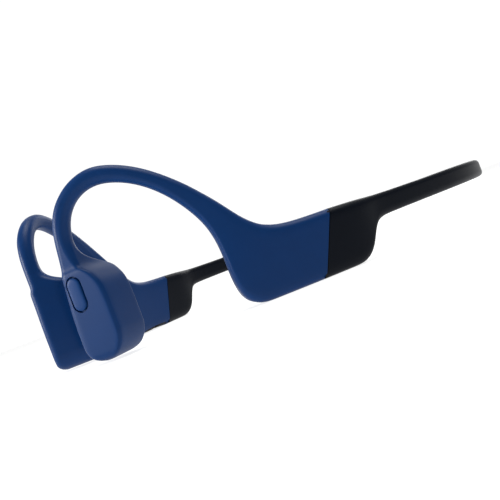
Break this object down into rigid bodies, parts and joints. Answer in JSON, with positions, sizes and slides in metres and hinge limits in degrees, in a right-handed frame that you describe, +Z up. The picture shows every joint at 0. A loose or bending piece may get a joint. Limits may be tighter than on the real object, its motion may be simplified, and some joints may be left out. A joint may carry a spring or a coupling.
{
  "type": "bone conduction headphones",
  "caption": "Open-ear headphones: a springy neckband joins two pods whose ear hooks carry bone conduction transducers that rest on the cheekbones.",
  "frame": {"origin": "middle of the footprint, on the surface that the pods and the transducers stand on", "axes": "+Z up as worn, +Y towards the back of the neck, +X towards the wearer's left ear"},
  "size_m": [0.1156, 0.162, 0.0487],
  "materials": {
    "ceramic": "fired ceramic",
    "steel": "stamped steel",
    "battery_pouch": "aluminium laminate pouch",
    "gold_plating": "gold plated contacts",
    "nickel_plating": "nickel plating",
    "black_plastic": "moulded nylon, fine texture",
    "blue_silicone": "soft matte moulded silicone, deep blue",
    "lead_insulation": "extruded lead insulation",
    "titanium_wire": "drawn memory titanium wire",
    "circuit_board": "green solder mask over glass fibre",
    "seal_rubber": "soft rubber",
    "blue_button": "soft matte silicone key, deep blue",
    "black_silicone": "soft matte moulded silicone, near black",
    "black_shell": "soft-touch coated nylon shell, near black",
    "blue_shell": "soft-touch coated nylon shell, deep blue",
    "lamp_diffuser": "milky polycarbonate light pipe",
    "blue_housing": "soft-touch coated nylon, deep blue",
    "blue_lid": "soft-touch coated nylon, deep blue",
    "pad_silicone": "smooth skin-side silicone, deep blue",
    "copper_winding": "enamelled copper winding",
    "black_button": "soft matte silicone key, black"
  },
  "bodies": {
    "left_half": {"band_wire_anchor_left": "steel", "battery": "battery_pouch", "driver_boss_left": "black_plastic", "driver_magnet_left": "nickel_plating", "driver_pole_left": "steel", "driver_spring_left": "steel", "driver_yoke_left": "steel", "ear_hook_left": "blue_silicone", "hook_lead_left": "lead_insulation", "hook_wire_anchor_left": "steel", "hook_wire_left": "titanium_wire", "multifunction_board": "circuit_board", "multifunction_switch": "steel", "neckband_lead_left": "lead_insulation", "neckband_sleeve_left": "black_silicone", "neckband_wire_left": "titanium_wire", "pod_end_left": "black_shell", "pod_seal_left": "seal_rubber", "pod_shell_left": "blue_shell", "pod_tray_left": "black_plastic", "protection_board": "circuit_board", "transducer_housing_left": "blue_housing", "transducer_lid_left": "blue_lid", "transducer_pad_left": "pad_silicone", "voice_coil_left": "copper_winding"},
    "right_half": {"band_wire_anchor_right": "steel", "driver_boss_right": "black_plastic", "driver_magnet_right": "nickel_plating", "driver_pole_right": "steel", "driver_spring_right": "steel", "driver_yoke_right": "steel", "ear_hook_right": "blue_silicone", "hook_lead_right": "lead_insulation", "hook_wire_anchor_right": "steel", "hook_wire_right": "titanium_wire", "neckband_lead_right": "lead_insulation", "neckband_sleeve_right": "black_silicone", "neckband_wire_right": "titanium_wire", "pod_end_right": "black_shell", "pod_seal_right": "seal_rubber", "pod_shell_right": "blue_shell", "pod_tray_right": "black_plastic", "transducer_housing_right": "blue_housing", "transducer_lid_right": "blue_lid", "transducer_pad_right": "pad_silicone", "voice_coil_right": "copper_winding", "main_board": "circuit_board", "shield_can": "steel", "aerial": "ceramic", "microphone_boot": "seal_rubber", "voice_microphone": "nickel_plating", "volume_switches": "steel", "volume_board": "circuit_board", "charge_port": "black_plastic", "charge_contacts": "gold_plating", "charge_magnets": "nickel_plating", "status_lamp": "lamp_diffuser"},
    "multifunction_button": {"multifunction_button": "blue_button"},
    "volume_up_button": {"volume_up_button": "black_button"},
    "volume_down_button": {"volume_down_button": "black_button"}
  },
  "joints": [
    {"name": "band_flex", "type": "hinge", "parent": "left_half", "child": "right_half", "pos_m": [0, 0.08098, 0.013], "axis": [0, 0, -1], "range_deg": [0, 44], "stiffness_Nm_per_rad": 0.2},
    {"name": "multifunction_press", "type": "slide", "parent": "left_half", "child": "multifunction_button", "axis": [-0.4848, 0.8746, 0], "range_m": [0, 0.0004], "stiffness_N_per_m": 300},
    {"name": "volume_up_press", "type": "slide", "parent": "right_half", "child": "volume_up_button", "axis": [0, 0, 1], "range_m": [0, 0.00035], "stiffness_N_per_m": 300},
    {"name": "volume_down_press", "type": "slide", "parent": "right_half", "child": "volume_down_button", "axis": [0, 0, 1], "range_m": [0, 0.00035], "stiffness_N_per_m": 300}
  ]
}
